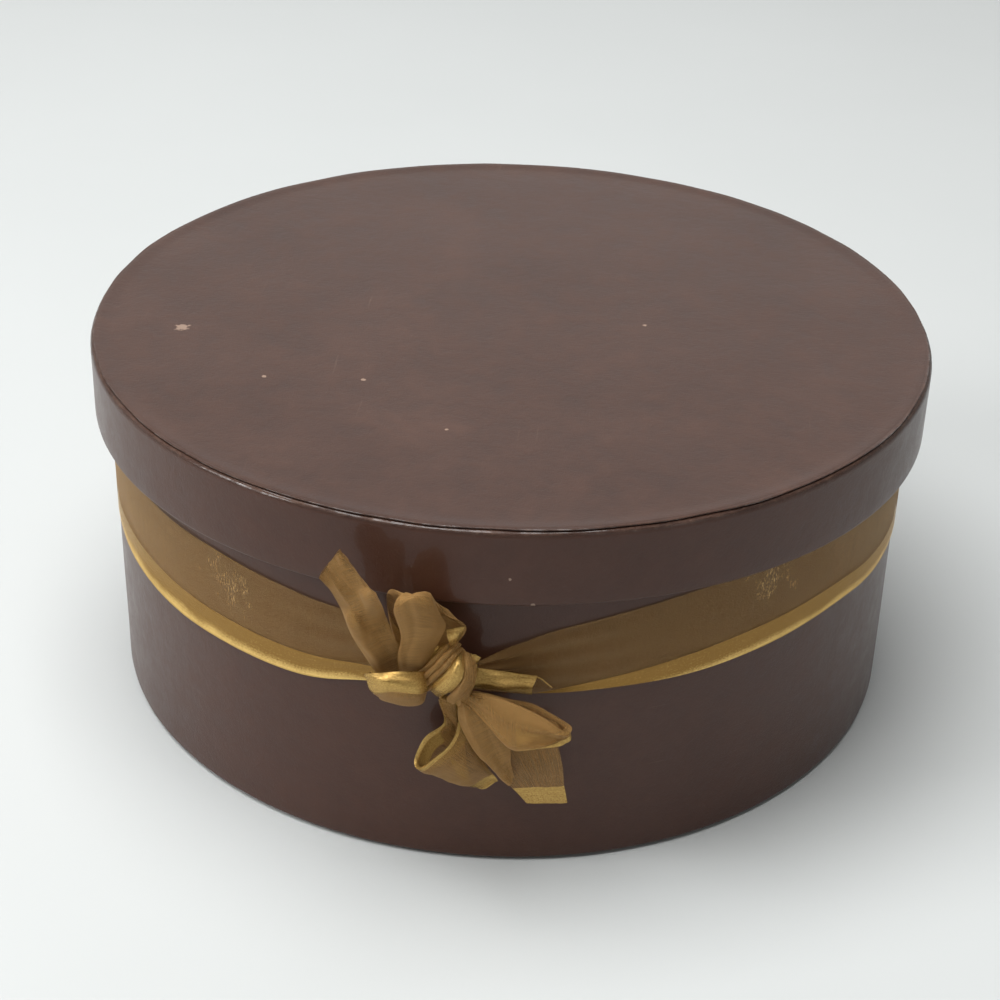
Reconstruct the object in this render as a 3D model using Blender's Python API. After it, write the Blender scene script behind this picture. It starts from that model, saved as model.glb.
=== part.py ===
"""Round keepsake box of paper-covered chipboard, with a lift-off lid and a ribbon tied in a small bow.

Metres, +Z up. The origin is at the centre of the underside, and the bow is at -Y.
"""
import math

import bmesh
import bpy
from mathutils import Vector

# Boards: two rolled hoops and the discs set in them
WALL_RADIUS = 0.0908  # outside of the base's hoop
WALL_HEIGHT = 0.0778
WALL_BOARD = 0.0020
FLOOR_BOARD = 0.0020
HOOP_BOARD = 0.0016
LID_BOARD = 0.0020
SKIRT_DEPTH = 0.0170  # the lid's whole depth at its side
RING_RISE = 0.0004  # the lid's hoop stands this far above its board
EDGE_ROUND = 0.0008  # rounding of the lid hoop's top edge

# Papers, and how far each is folded over its board
COVER_PAPER = 0.0003
LINING_PAPER = 0.0003
GLUE = 0.0002  # between a paper and what it is stuck to
WALL_TURN_IN = 0.0120
WALL_TURN_UNDER = 0.0100
SKIRT_TURN_IN = 0.0050
TOP_TURN_OVER = 0.0080
UNDERSIDE_INSET = 0.0040  # from the hoop's outside to the edge of the underside's paper
TOP_INSET = 0.0008  # from the lid's outside to the edge of its top paper

# Fit of the lid on the base
LID_PLAY = 0.0011  # all round, between the two turned-in papers
LID_SEAT = 0.0003  # between the base's top edge and the lining it carries

# Ribbon and bow
RIBBON_WIDTH = 0.0220
RIBBON_THICKNESS = 0.0004
RIBBON_GAP = 0.0003  # between the band and the wall's paper
KNOT_ROOM = 0.0005  # between the knot and what comes out of it
KNOT_HEIGHT = 0.0520

# Fineness of the round and the soft surfaces
TURN_STEPS = 64
CORNER_STEPS = 3
BAND_STEP = 4.5  # degrees round the wall
BAND_RAILS = 6
CLOTH_STEPS = 2
SMOOTH_ANGLE = math.radians(35)
MERGE = 0.000001

# Where the surfaces of the assembled box lie
INSIDE_RADIUS = WALL_RADIUS - WALL_BOARD
BASE_RADIUS = WALL_RADIUS + GLUE + COVER_PAPER
HOOP_INSIDE = BASE_RADIUS + LID_PLAY + COVER_PAPER + GLUE
HOOP_RADIUS = HOOP_INSIDE + HOOP_BOARD
LID_RADIUS = HOOP_RADIUS + GLUE + COVER_PAPER

WALL_BOTTOM = COVER_PAPER + GLUE + COVER_PAPER + GLUE
WALL_TOP = WALL_BOTTOM + WALL_HEIGHT
FLOOR_TOP = WALL_BOTTOM + FLOOR_BOARD
BASE_TOP = WALL_TOP + GLUE + COVER_PAPER
LINING_UNDERSIDE = BASE_TOP + LID_SEAT
BOARD_UNDERSIDE = LINING_UNDERSIDE + LINING_PAPER + GLUE
BOARD_TOP = BOARD_UNDERSIDE + LID_BOARD
HOOP_TOP = BOARD_TOP + RING_RISE
BOX_TOP = HOOP_TOP + GLUE + COVER_PAPER + GLUE + COVER_PAPER
HOOP_BOTTOM = BOX_TOP - SKIRT_DEPTH + COVER_PAPER + GLUE

# The band: degrees round from the bow, then its lower edge, its upper edge and its lift off the wall,
# each a share of the ribbon's width
BAND_SHARES = (
    (-3.0, -0.16, 0.10, 0.07),
    (-6.0, -0.28, 0.22, 0.04),
    (-9.0, -0.36, 0.26, 0.02),
    (-13.0, -0.43, 0.29, 0.00),
    (-19.0, -0.53, 0.32, 0.00),
    (-25.0, -0.56, 0.37, 0.00),
    (-35.0, -0.55, 0.43, 0.00),
    (-50.0, -0.52, 0.46, 0.00),
    (-75.0, -0.46, 0.50, 0.00),
    (-110.0, -0.40, 0.56, 0.00),
    (-180.0, -0.36, 0.61, 0.00),
    (-250.0, -0.36, 0.61, 0.00),
    (-289.0, -0.36, 0.61, 0.00),
    (-304.0, -0.29, 0.62, 0.00),
    (-319.0, -0.33, 0.60, 0.00),
    (-330.0, -0.37, 0.54, 0.00),
    (-340.0, -0.37, 0.43, 0.00),
    (-348.0, -0.37, 0.30, 0.00),
    (-352.5, -0.34, 0.18, 0.02),
    (-355.0, -0.28, 0.10, 0.04),
    (-357.5, -0.14, 0.00, 0.06),
)
PLEAT_SHARE = 0.02  # depth of the small pleats where the band runs into the knot
PLEAT_REACH = math.radians(24)

# The knot: its middle and its half sizes, to the right, out from the wall and up
KNOT_MIDDLE_SHARES = (-0.06, 0.24, 0.00)
KNOT_HALF_SHARES = (0.26, 0.14, 0.28)
KNOT_FOLD_SHARE = 0.10  # depth of the folds across the knot, as a share of its half size
KNOT_FOLDS = 2
KNOT_TILT = math.radians(52)  # the wrap climbs to the right
KNOT_AROUND = 28
KNOT_RINGS = 14

# The bow's pieces: a row for each station along the ribbon, starting in the knot. Each row has points
# across the ribbon, and each point is right of the knot, out from the wall and up, in ribbon widths.
TAIL_UPPER_SHARES = (
    ((-0.20, 0.23, -0.14), (-0.17, 0.22, -0.09), (-0.13, 0.21, -0.04)),
    ((-0.49, 0.25, -0.16), (-0.40, 0.24, -0.05), (-0.29, 0.22, 0.08)),
    ((-0.77, 0.29, -0.05), (-0.60, 0.31, 0.09), (-0.47, 0.26, 0.23)),
    ((-0.91, 0.34, 0.21), (-0.75, 0.40, 0.31), (-0.57, 0.33, 0.37)),
    ((-0.99, 0.39, 0.49), (-0.81, 0.45, 0.58), (-0.62, 0.39, 0.64)),
    ((-1.02, 0.43, 0.72), (-0.85, 0.48, 0.73), (-0.64, 0.45, 0.86)),
    ((-1.09, 0.45, 0.86), (-1.00, 0.37, 0.90), (-0.78, 0.43, 1.01)),
    ((-1.18, 0.47, 1.01), (-1.03, 0.38, 1.23), (-0.94, 0.43, 1.22)),
)
LOOP_UPPER_SHARES = (
    ((-0.16, 0.27, -0.10), (-0.12, 0.29, -0.05), (-0.08, 0.27, -0.01)),
    ((-0.48, 0.38, 0.18), (-0.30, 0.45, 0.30), (-0.09, 0.36, 0.29)),
    ((-0.48, 0.44, 0.51), (-0.29, 0.53, 0.61), (-0.07, 0.42, 0.54)),
    ((-0.53, 0.48, 0.77), (-0.35, 0.57, 0.87), (-0.14, 0.45, 0.74)),
    ((-0.48, 0.43, 0.85), (-0.35, 0.45, 0.93), (-0.21, 0.39, 0.85)),
    ((-0.53, 0.29, 0.85), (-0.36, 0.29, 0.79), (-0.09, 0.27, 0.61)),
    ((-0.63, 0.24, 0.52), (-0.35, 0.24, 0.41), (0.08, 0.24, 0.46)),
    ((-0.53, 0.17, 0.19), (-0.30, 0.15, 0.14), (-0.01, 0.17, 0.23)),
    ((-0.20, 0.15, -0.02), (-0.14, 0.15, -0.02), (-0.07, 0.16, 0.00)),
)
LOOP_LEFT_SHARES = (
    ((-0.14, 0.27, -0.04), (-0.14, 0.30, -0.10), (-0.14, 0.27, -0.20)),
    ((-0.32, 0.45, 0.11), (-0.30, 0.48, -0.08), (-0.34, 0.37, -0.33)),
    ((-0.51, 0.49, 0.10), (-0.50, 0.52, -0.09), (-0.50, 0.39, -0.35)),
    ((-0.70, 0.45, 0.05), (-0.66, 0.45, -0.14), (-0.61, 0.35, -0.36)),
    ((-0.81, 0.32, -0.06), (-0.75, 0.32, -0.22), (-0.67, 0.27, -0.38)),
    ((-0.79, 0.20, -0.20), (-0.72, 0.19, -0.31), (-0.61, 0.18, -0.40)),
    ((-0.52, 0.13, -0.25), (-0.49, 0.13, -0.32), (-0.44, 0.13, -0.39)),
    ((-0.18, 0.14, -0.18), (-0.16, 0.15, -0.22), (-0.15, 0.15, -0.25)),
)
STRAP_RIGHT_SHARES = (
    ((0.03, 0.25, -0.02), (0.03, 0.26, -0.07), (0.03, 0.26, -0.13)),
    ((0.21, 0.22, 0.02), (0.19, 0.24, -0.14), (0.18, 0.24, -0.28)),
    ((0.43, 0.18, -0.03), (0.42, 0.20, -0.17), (0.39, 0.18, -0.32)),
    ((0.73, 0.16, -0.08), (0.70, 0.17, -0.16), (0.67, 0.12, -0.32)),
)
LOOP_LOWER_RIGHT_SHARES = (
    ((-0.03, 0.26, -0.12), (-0.03, 0.26, -0.16), (-0.03, 0.26, -0.21)),
    ((0.21, 0.30, -0.24), (0.21, 0.30, -0.34), (0.21, 0.29, -0.46)),
    ((0.51, 0.31, -0.26), (0.51, 0.31, -0.40), (0.49, 0.30, -0.59)),
    ((0.82, 0.32, -0.29), (0.81, 0.32, -0.43), (0.78, 0.31, -0.62)),
    ((1.01, 0.40, -0.35), (1.02, 0.40, -0.44), (0.97, 0.38, -0.57)),
    ((0.93, 0.51, -0.35), (0.94, 0.52, -0.43), (0.90, 0.48, -0.54)),
    ((0.72, 0.53, -0.29), (0.72, 0.55, -0.44), (0.69, 0.52, -0.61)),
    ((0.44, 0.47, -0.25), (0.47, 0.51, -0.43), (0.51, 0.50, -0.65)),
    ((0.18, 0.40, -0.19), (0.23, 0.43, -0.32), (0.28, 0.43, -0.50)),
    ((-0.03, 0.33, -0.10), (-0.02, 0.34, -0.13), (-0.01, 0.34, -0.17)),
)
TAIL_LOWER_SHARES = (
    ((0.06, 0.12, -0.22), (0.40, 0.12, -0.74), (0.66, 0.12, -1.09), (0.84, 0.12, -1.37)),
    ((0.03, 0.12, -0.24), (0.20, 0.12, -0.84), (0.46, 0.12, -1.20), (0.72, 0.12, -1.48)),
    ((0.01, 0.15, -0.25), (0.14, 0.16, -0.88), (0.39, 0.16, -1.23), (0.67, 0.16, -1.51)),
    ((0.03, 0.18, -0.25), (0.20, 0.20, -0.84), (0.46, 0.20, -1.20), (0.72, 0.20, -1.48)),
    ((0.07, 0.18, -0.25), (0.58, 0.21, -0.77), (0.80, 0.22, -1.11), (0.91, 0.21, -1.45)),
    ((0.12, 0.17, -0.24), (0.86, 0.22, -0.71), (1.00, 0.23, -1.00), (1.05, 0.22, -1.40)),
)
LOOP_LOWER_LEFT_SHARES = (
    ((-0.09, 0.21, -0.25), (-0.07, 0.20, -0.27), (-0.04, 0.19, -0.28)),
    ((-0.11, 0.24, -0.64), (-0.05, 0.19, -0.73), (0.04, 0.13, -0.85)),
    ((-0.23, 0.25, -0.77), (-0.11, 0.20, -0.95), (0.05, 0.10, -1.15)),
    ((-0.34, 0.32, -0.86), (-0.30, 0.25, -1.06), (-0.15, 0.14, -1.26)),
    ((-0.30, 0.43, -0.98), (-0.18, 0.35, -1.09), (0.00, 0.15, -1.31)),
    ((-0.13, 0.46, -0.81), (0.03, 0.38, -1.01), (0.27, 0.15, -1.37)),
    ((-0.04, 0.44, -0.61), (0.06, 0.35, -0.85), (0.29, 0.15, -1.23)),
    ((-0.04, 0.35, -0.41), (-0.01, 0.29, -0.54), (0.05, 0.19, -0.72)),
    ((-0.09, 0.30, -0.19), (-0.07, 0.29, -0.20), (-0.05, 0.28, -0.22)),
)
BOW_PIECES = {
    "bow_tail_upper": TAIL_UPPER_SHARES,
    "bow_loop_upper": LOOP_UPPER_SHARES,
    "bow_loop_left": LOOP_LEFT_SHARES,
    "bow_strap_right": STRAP_RIGHT_SHARES,
    "bow_loop_lower_right": LOOP_LOWER_RIGHT_SHARES,
    "bow_tail_lower": TAIL_LOWER_SHARES,
    "bow_loop_lower_left": LOOP_LOWER_LEFT_SHARES,
}

# Colours, with roughness
GLOSSY_BROWN = ((0.075, 0.045, 0.040, 1.0), 0.25)
LINING_CREAM = ((0.700, 0.640, 0.540, 1.0), 0.80)
BOARD_GREY = ((0.330, 0.260, 0.190, 1.0), 0.90)
ORGANZA_GOLD = ((0.330, 0.200, 0.060, 1.0), 0.45)


def clear_scene():
    for obj in list(bpy.data.objects):
        bpy.data.objects.remove(obj, do_unlink=True)


def finish_for(name, look):
    """A Principled material of its own for the piece called name."""
    colour, roughness = look
    material = bpy.data.materials.new(name + "_finish")
    material.use_nodes = True
    shader = material.node_tree.nodes["Principled BSDF"]
    shader.inputs["Base Color"].default_value = colour
    shader.inputs["Roughness"].default_value = roughness
    shader.inputs["Metallic"].default_value = 0.0
    material.diffuse_color = colour
    return material


def add_piece(name, bm, look):
    """Turns the finished bmesh into a smooth-shaded object called name."""
    bmesh.ops.recalc_face_normals(bm, faces=bm.faces)
    mesh = bpy.data.meshes.new(name)
    bm.to_mesh(mesh)
    bm.free()
    mesh.shade_smooth()
    mesh.set_sharp_from_angle(angle=SMOOTH_ANGLE)
    obj = bpy.data.objects.new(name, mesh)
    bpy.context.scene.collection.objects.link(obj)
    mesh.materials.append(finish_for(name, look))
    return obj


def turned(name, profile, look):
    """A piece turned round Z from the (radius, height) points of its section. One that starts and ends
    on the axis is a disc, and any other is closed into a ring."""
    bm = bmesh.new()
    verts = [bm.verts.new((radius, 0, height)) for radius, height in profile]
    edges = [bm.edges.new(pair) for pair in zip(verts, verts[1:])]
    if profile[0][0] > 0:
        edges.append(bm.edges.new((verts[-1], verts[0])))
    bmesh.ops.spin(
        bm,
        geom=verts + edges,
        cent=(0, 0, 0),
        axis=(0, 0, 1),
        angle=math.tau,
        steps=TURN_STEPS,
        use_merge=True,
        use_duplicate=False,
    )
    bmesh.ops.remove_doubles(bm, verts=bm.verts, dist=MERGE)
    return add_piece(name, bm, look)


def disc(name, radius, bottom, thickness, look):
    top = bottom + thickness
    return turned(name, [(0, bottom), (radius, bottom), (radius, top), (0, top)], look)


def hoop(name, inside, outside, bottom, top, look):
    return turned(name, [(inside, bottom), (outside, bottom), (outside, top), (inside, top)], look)


def top_corner(radius, height, rounding):
    """Points of a rounded corner from a hoop's side over to its top."""
    points = []
    for step in range(CORNER_STEPS + 1):
        angle = math.pi / 2 * step / CORNER_STEPS
        across = radius - EDGE_ROUND + rounding * math.cos(angle)
        points.append((across, height - EDGE_ROUND + rounding * math.sin(angle)))
    return points


def skin(name, path, offset, thickness, look):
    """A paper that follows a board: path(distance) gives its line at a distance from the board."""
    inner = path(offset)
    outer = path(offset + thickness)
    return turned(name, inner + outer[::-1], look)


# Base

def base_wall():
    hoop("base_wall", INSIDE_RADIUS, WALL_RADIUS, WALL_BOTTOM, WALL_TOP, BOARD_GREY)


def base_floor():
    disc("base_floor", INSIDE_RADIUS - GLUE, WALL_BOTTOM, FLOOR_BOARD, BOARD_GREY)


def base_wall_paper():
    """Folded over the hoop's top edge to the inside, and under its bottom edge."""

    def path(distance):
        return [
            (INSIDE_RADIUS - distance, WALL_TOP - WALL_TURN_IN),
            (INSIDE_RADIUS - distance, WALL_TOP + distance),
            (WALL_RADIUS + distance, WALL_TOP + distance),
            (WALL_RADIUS + distance, WALL_BOTTOM - distance),
            (WALL_RADIUS - WALL_TURN_UNDER, WALL_BOTTOM - distance),
        ]

    skin("base_wall_paper", path, GLUE, COVER_PAPER, GLOSSY_BROWN)


def base_bottom_paper():
    disc("base_bottom_paper", WALL_RADIUS - UNDERSIDE_INSET, 0, COVER_PAPER, GLOSSY_BROWN)


def base_wall_lining():
    outside = INSIDE_RADIUS - GLUE
    top = WALL_TOP - WALL_TURN_IN - GLUE
    hoop("base_wall_lining", outside - LINING_PAPER, outside, FLOOR_TOP + GLUE, top, LINING_CREAM)


def base_floor_lining():
    radius = INSIDE_RADIUS - GLUE - LINING_PAPER - GLUE
    disc("base_floor_lining", radius, FLOOR_TOP + GLUE, LINING_PAPER, LINING_CREAM)


# Lid

def lid_hoop():
    profile = [(HOOP_INSIDE, HOOP_TOP), (HOOP_INSIDE, HOOP_BOTTOM), (HOOP_RADIUS, HOOP_BOTTOM)]
    profile += top_corner(HOOP_RADIUS, HOOP_TOP, EDGE_ROUND)
    turned("lid_hoop", profile, BOARD_GREY)


def lid_board():
    disc("lid_board", HOOP_INSIDE - GLUE, BOARD_UNDERSIDE, LID_BOARD, BOARD_GREY)


def lid_rim_paper():
    """Folded up inside the hoop's lower edge, and over its top edge on to the board."""

    def path(distance):
        line = [
            (HOOP_INSIDE - distance, HOOP_BOTTOM + SKIRT_TURN_IN),
            (HOOP_INSIDE - distance, HOOP_BOTTOM - distance),
            (HOOP_RADIUS + distance, HOOP_BOTTOM - distance),
        ]
        line += top_corner(HOOP_RADIUS, HOOP_TOP, EDGE_ROUND + distance)
        line += [
            (HOOP_INSIDE, HOOP_TOP + distance),
            (HOOP_INSIDE - RING_RISE, BOARD_TOP + distance),
            (HOOP_INSIDE - TOP_TURN_OVER, BOARD_TOP + distance),
        ]
        return line

    skin("lid_rim_paper", path, GLUE, COVER_PAPER, GLOSSY_BROWN)


def lid_top_paper():
    """Lies on the turned-over edge, so the hoop shows through it as a low ring."""
    under = GLUE + COVER_PAPER + GLUE
    over = under + COVER_PAPER
    edge = LID_RADIUS - TOP_INSET
    profile = [
        (0, BOARD_TOP + under),
        (HOOP_INSIDE - RING_RISE, BOARD_TOP + under),
        (HOOP_INSIDE, HOOP_TOP + under),
        (edge, HOOP_TOP + under),
        (edge, HOOP_TOP + over),
        (HOOP_INSIDE, HOOP_TOP + over),
        (HOOP_INSIDE - RING_RISE, BOARD_TOP + over),
        (0, BOARD_TOP + over),
    ]
    turned("lid_top_paper", profile, GLOSSY_BROWN)


def lid_top_lining():
    disc("lid_top_lining", HOOP_INSIDE - GLUE, LINING_UNDERSIDE, LINING_PAPER, LINING_CREAM)


def lid_hoop_lining():
    outside = HOOP_INSIDE - GLUE
    bottom = HOOP_BOTTOM + SKIRT_TURN_IN + GLUE
    top = LINING_UNDERSIDE - GLUE
    hoop("lid_hoop_lining", outside - LINING_PAPER, outside, bottom, top, LINING_CREAM)


# Ribbon

def between(a, b, c, d, t):
    """The point a share t of the way from b to c, on a smooth curve through all four."""
    return (
        b * 2
        + (c - a) * t
        + (a * 2 - b * 5 + c * 4 - d) * t ** 2
        + (b * 3 - a - c * 3 + d) * t ** 3
    ) / 2


def smooth_curve(points, counts):
    """A smooth curve through the points, cut into as many steps between each two as counts says."""
    ends = [points[0] * 2 - points[1], *points, points[-1] * 2 - points[-2]]
    curve = []
    for a, b, c, d, count in zip(ends, ends[1:], ends[2:], ends[3:], counts):
        curve += [between(a, b, c, d, step / count) for step in range(count)]
    return curve + [points[-1]]


def smooth_sheet(rows, steps):
    """A grid of points through the given rows, smooth both along and across the ribbon."""
    across = [smooth_curve(row, [steps] * (len(row) - 1)) for row in rows]
    along = [smooth_curve(list(column), [steps] * (len(rows) - 1)) for column in zip(*across)]
    return [list(row) for row in zip(*along)]


def sheet_normal(grid, i, j):
    along = grid[min(i + 1, len(grid) - 1)][j] - grid[max(i - 1, 0)][j]
    across = grid[i][min(j + 1, len(grid[i]) - 1)] - grid[i][max(j - 1, 0)]
    return along.cross(across).normalized()


def ribbon_piece(name, grid):
    """A strip of ribbon round the grid, which is its middle surface."""
    bm = bmesh.new()
    half = RIBBON_THICKNESS / 2
    sides = []
    for side in (half, -half):
        rows = []
        for i, row in enumerate(grid):
            points = [point + sheet_normal(grid, i, j) * side for j, point in enumerate(row)]
            rows.append([bm.verts.new(point) for point in points])
        sides.append(rows)
        for upper, lower in zip(rows, rows[1:]):
            for j in range(len(upper) - 1):
                bm.faces.new((upper[j], upper[j + 1], lower[j + 1], lower[j]))
    rims = []
    for rows in sides:
        rim = rows[0] + [row[-1] for row in rows[1:]]
        rim += rows[-1][-2::-1] + [row[0] for row in rows[-2:0:-1]]
        rims.append(rim)
    front, back = rims
    for j in range(len(front)):
        bm.faces.new((front[j - 1], front[j], back[j], back[j - 1]))
    return add_piece(name, bm, ORGANZA_GOLD)


def at_knot(shares):
    """A point given in ribbon widths right of the knot, out from the wall and up."""
    right, out, up = (share * RIBBON_WIDTH for share in shares)
    return Vector((right, -BASE_RADIUS - out, KNOT_HEIGHT + up))


def knot_body(name, clearance, look):
    """The wrapped middle of the bow, with folds across it, grown by the clearance."""
    bm = bmesh.new()
    bmesh.ops.create_uvsphere(bm, u_segments=KNOT_AROUND, v_segments=KNOT_RINGS, radius=1)
    middle = at_knot(KNOT_MIDDLE_SHARES)
    half = [share * RIBBON_WIDTH for share in KNOT_HALF_SHARES]
    for vert in bm.verts:
        across = vert.co.z * math.cos(KNOT_TILT) - vert.co.x * math.sin(KNOT_TILT)
        fold = 1 - KNOT_FOLD_SHARE * math.cos(math.pi * KNOT_FOLDS * across) ** 2
        place = [axis * size * fold + axis * clearance for axis, size in zip(vert.co, half)]
        vert.co = middle + Vector(place)
    return add_piece(name, bm, look)


def knot_room():
    """Cuts the room that the knot needs out of what comes out of it."""
    cutter = knot_body("knot_room", KNOT_ROOM, ORGANZA_GOLD)
    cutter.hide_render = True
    cutter.display_type = "WIRE"
    return cutter


def cut_by(obj, cutter):
    cut = obj.modifiers.new("knot_room", "BOOLEAN")
    cut.operation = "DIFFERENCE"
    cut.solver = "EXACT"
    cut.object = cutter


def band_grid():
    """The ribbon round the wall, from the left of the knot round the back to its right."""
    stations = [Vector(row) for row in BAND_SHARES]
    counts = [math.ceil((here[0] - there[0]) / BAND_STEP) for here, there in zip(stations, stations[1:])]
    grid = []
    for degrees, low, high, lift in smooth_curve(stations, counts):
        turn = math.radians(degrees)
        from_knot = min(-turn, turn + math.tau)
        depth = PLEAT_SHARE * RIBBON_WIDTH * max(0, 1 - from_knot / PLEAT_REACH)
        row = []
        for rail in range(BAND_RAILS + 1):
            up = low + (high - low) * rail / BAND_RAILS
            pleat = depth * (1 + math.cos(math.pi * rail))
            radius = BASE_RADIUS + RIBBON_GAP + RIBBON_THICKNESS / 2 + lift * RIBBON_WIDTH + pleat
            place = (radius * math.sin(turn), -radius * math.cos(turn), KNOT_HEIGHT + up * RIBBON_WIDTH)
            row.append(Vector(place))
        grid.append(row)
    return grid


def ribbon_and_bow():
    room = knot_room()
    knot_body("bow_knot", 0, ORGANZA_GOLD)
    cut_by(ribbon_piece("ribbon_band", band_grid()), room)
    for name, shares in BOW_PIECES.items():
        rows = [[at_knot(point) for point in row] for row in shares]
        cut_by(ribbon_piece(name, smooth_sheet(rows, CLOTH_STEPS)), room)


clear_scene()
for build in (base_wall, base_floor, base_wall_paper, base_bottom_paper, base_wall_lining, base_floor_lining):
    build()
for build in (lid_hoop, lid_board, lid_rim_paper, lid_top_paper, lid_top_lining, lid_hoop_lining):
    build()
ribbon_and_bow()
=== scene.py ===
import math

import bpy
from mathutils import Matrix, Vector, noise


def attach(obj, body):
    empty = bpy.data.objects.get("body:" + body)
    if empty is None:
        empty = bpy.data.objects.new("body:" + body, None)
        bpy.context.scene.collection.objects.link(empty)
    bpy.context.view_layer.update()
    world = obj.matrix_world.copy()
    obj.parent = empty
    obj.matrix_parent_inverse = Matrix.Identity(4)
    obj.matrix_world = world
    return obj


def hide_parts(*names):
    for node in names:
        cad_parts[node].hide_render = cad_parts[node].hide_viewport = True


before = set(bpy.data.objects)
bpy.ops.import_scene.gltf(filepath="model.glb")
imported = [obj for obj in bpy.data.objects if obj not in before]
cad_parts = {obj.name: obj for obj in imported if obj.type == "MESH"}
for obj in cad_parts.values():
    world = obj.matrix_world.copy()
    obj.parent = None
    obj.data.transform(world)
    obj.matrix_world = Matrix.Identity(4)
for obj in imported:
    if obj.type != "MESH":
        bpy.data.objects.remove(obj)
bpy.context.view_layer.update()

# Sizes shared with the solids, in metres
WALL_RADIUS = 0.0908
INSIDE_RADIUS = 0.0888
BASE_RADIUS = 0.0913
HOOP_INSIDE = 0.0929
HOOP_RADIUS = 0.0945
LID_RADIUS = 0.0950
WALL_BOTTOM = 0.0010
FLOOR_TOP = 0.0030
WALL_TOP = 0.0788
LINING_UNDERSIDE = 0.0796
BOARD_UNDERSIDE = 0.0801
BOARD_TOP = 0.0821
HOOP_TOP = 0.0825
HOOP_BOTTOM = 0.0670
BOX_TOP = 0.0835
GLUE = 0.0002
PAPER = 0.0003
EDGE_ROUND = 0.0008
RIBBON_WIDTH = 0.0220
RIBBON_GAP = 0.0003
KNOT_HEIGHT = 0.0520

# How far the cover paper turns over, under and in, and how far its disc stays back
TURN_OVER = 0.0120
TURN_UNDER = 0.0100
RIM_TURN_UP = 0.0050
RIM_TURN_IN = 0.0080
DISC_INSET = 0.0040
WALL_CORNER = 0.0004
RIM_CORNER = 0.0003
# The low ring round the lid's top, as distance in and rise
RING = ((0.0030, 0.0), (0.0018, 0.00008), (0.0006, 0.00028))
# Depth of the waves in the papers
WALL_WAVE = 0.00012
RIM_WAVE = 0.00016
TOP_WAVE = 0.00012
TOP_RIPPLE = 0.00003
TRIM_WAVE = 0.00030
# The waves of the lid's top paper calm down toward its edge, and only its outermost part wanders
CALM_REACH = 0.0100
CALM_LEAST = 0.15
TRIM_FROM = 0.0008
# How far under the box's top the lid's top starts, and where its edge is rubbed and carries a painted
# highlight: inward and downward
TOP_STARTS = 0.0014
TOP_FULL = 0.0012
RUB_STARTS_IN = 0.0014
RUB_FULL_IN = 0.0004
RUB_STARTS_DOWN = 0.0016
RUB_FULL_DOWN = 0.0006
# Depth of the fine relief in each material
GRAIN_DEPTH = 0.000035
MOTTLE_DEPTH = 0.00022
RUB_DEPTH = 0.0006
FIBRE_DEPTH = 0.00006
BOARD_DEPTH = 0.00008
THREAD_DEPTH = 0.00005
# Pleats, ripples and turned-under layers of the ribbon
BAND_PLEAT = 0.00055
BAND_RIPPLE = 0.00020
BAND_CREASE = 0.00070
BAND_PLEATS = 3.5
BAND_RAILS = 44
# Degrees round the wall: a step of the band, how far its pleats reach, and its crease's place and reach
BAND_STEP = 0.6
GATHER_REACH = 30
CREASE_AT = -42
CREASE_REACH = 26
CREASE_WIDTH = 0.10
WRAP_PLEAT = 0.00080
TURN_EASE = 0.00080
TURN_GAP = 0.00050
SIDE_GAP = 0.00030
LAYER_GAP = 0.00040
LEAST_TURN = 0.00020
CORE_LENGTH = 0.0180
CORE_HALF_WIDTH = 0.0056
CORE_AHEAD = 0.0050
CORE_OUT = 0.0027
CORE_TILT = math.radians(52)
CORE_MIDDLE = (-0.06, 0.22, 0.0)
CORE_ROWS = 73
CORE_COLUMNS = 61
CREASE_SLANT = 0.30
ALONG_STEPS = 10
ACROSS_STEPS = 6
UNDER_STEPS = 20
UNDER_LAYERS = 3.2
# Where the bow's and the knot's cloth lie along V, clear of the band's
BOW_ALONG = -20
KNOT_ALONG = -30
AROUND = 360
PROFILE_STEP = 0.0025
CORNER_STEPS = 6
SMOOTH_ANGLE = math.radians(50)


# Meshes

def piece(name, verts, faces, material, body, nodes, uvs=None):
    mesh = bpy.data.meshes.new(name)
    mesh.from_pydata(verts, [], faces)
    if uvs:
        layer = mesh.uv_layers.new(name="ribbon")
        for loop in mesh.loops:
            layer.data[loop.index].uv = uvs[loop.vertex_index]
    mesh.update()
    mesh.shade_smooth()
    mesh.set_sharp_from_angle(angle=SMOOTH_ANGLE)
    mesh.materials.append(material)
    obj = bpy.data.objects.new(name, mesh)
    bpy.context.scene.collection.objects.link(obj)
    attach(obj, body)
    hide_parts(*nodes)
    return obj


def fine(points):
    """The line with long stretches cut into short ones."""
    line = [points[0]]
    for (r0, z0), (r1, z1) in zip(points, points[1:]):
        steps = max(1, math.ceil(math.hypot(r1 - r0, z1 - z0) / PROFILE_STEP))
        for k in range(1, steps + 1):
            line.append((r0 + (r1 - r0) * k / steps, z0 + (z1 - z0) * k / steps))
    return line


def rounded(points, rounding, steps=4):
    """The line with its corners rounded."""
    line = [points[0]]
    for before, corner, after in zip(points, points[1:], points[2:]):
        a = Vector(before) - Vector(corner)
        b = Vector(after) - Vector(corner)
        reach = min(rounding, a.length * 0.45, b.length * 0.45)
        start = Vector(corner) + a.normalized() * reach
        end = Vector(corner) + b.normalized() * reach
        for k in range(steps + 1):
            t = k / steps
            point = start * (1 - t) ** 2 + Vector(corner) * (2 * t * (1 - t)) + end * t ** 2
            line.append(tuple(point))
    line.append(points[-1])
    return line


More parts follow.
